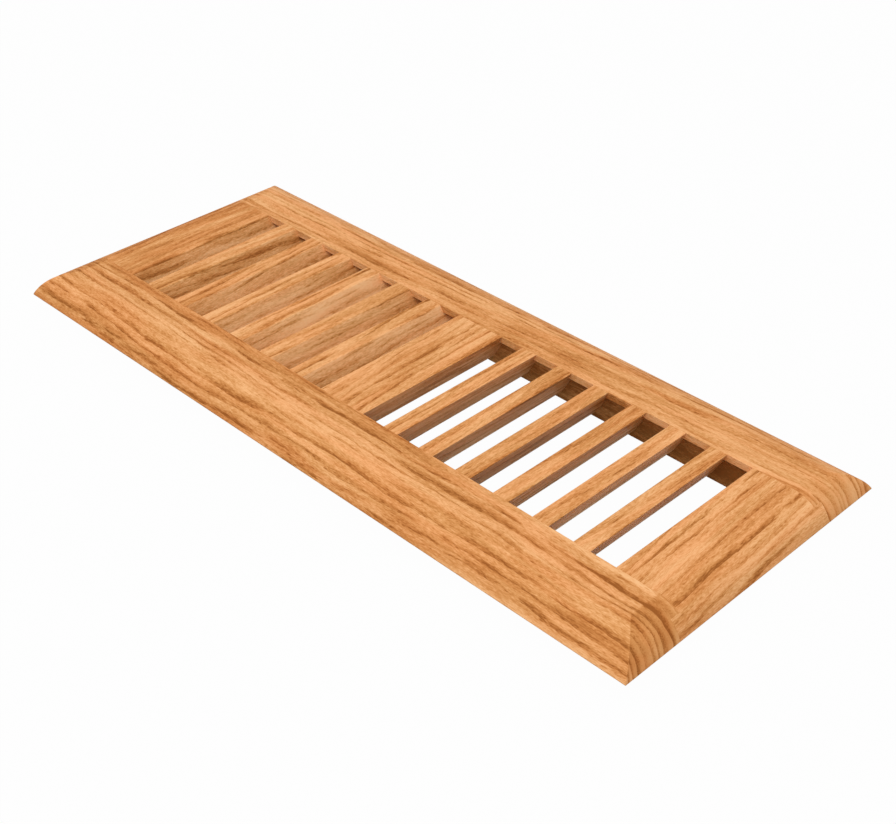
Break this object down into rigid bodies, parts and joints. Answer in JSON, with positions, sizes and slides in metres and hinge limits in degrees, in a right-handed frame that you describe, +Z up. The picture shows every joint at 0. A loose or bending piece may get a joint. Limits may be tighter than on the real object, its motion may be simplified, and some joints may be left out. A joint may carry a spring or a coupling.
{
  "type": "floor register",
  "caption": "Wooden drop-in floor register: rounded rim, fixed leaning louvre slats either side of a centre block, glued under lips of the side rails, over a shallow body for a duct opening.",
  "frame": {"origin": "plan centre of the register on the underside of its drop-in body", "axes": "+X along the length, +Y across the register to the back rail, +Z up out of the floor"},
  "size_m": [0.3492, 0.146, 0.0191],
  "materials": {
    "oak": "red oak, planed and sanded, clear satin finish"
  },
  "bodies": {
    "root": {"side_rail_front": "oak", "side_rail_back": "oak", "end_rail_left": "oak", "end_rail_right": "oak", "centre_block": "oak", "slat_left_1": "oak", "slat_left_2": "oak", "slat_left_3": "oak", "slat_left_4": "oak", "slat_left_5": "oak", "slat_left_6": "oak", "slat_right_1": "oak", "slat_right_2": "oak", "slat_right_3": "oak", "slat_right_4": "oak", "slat_right_5": "oak", "slat_right_6": "oak"}
  },
  "joints": []
}
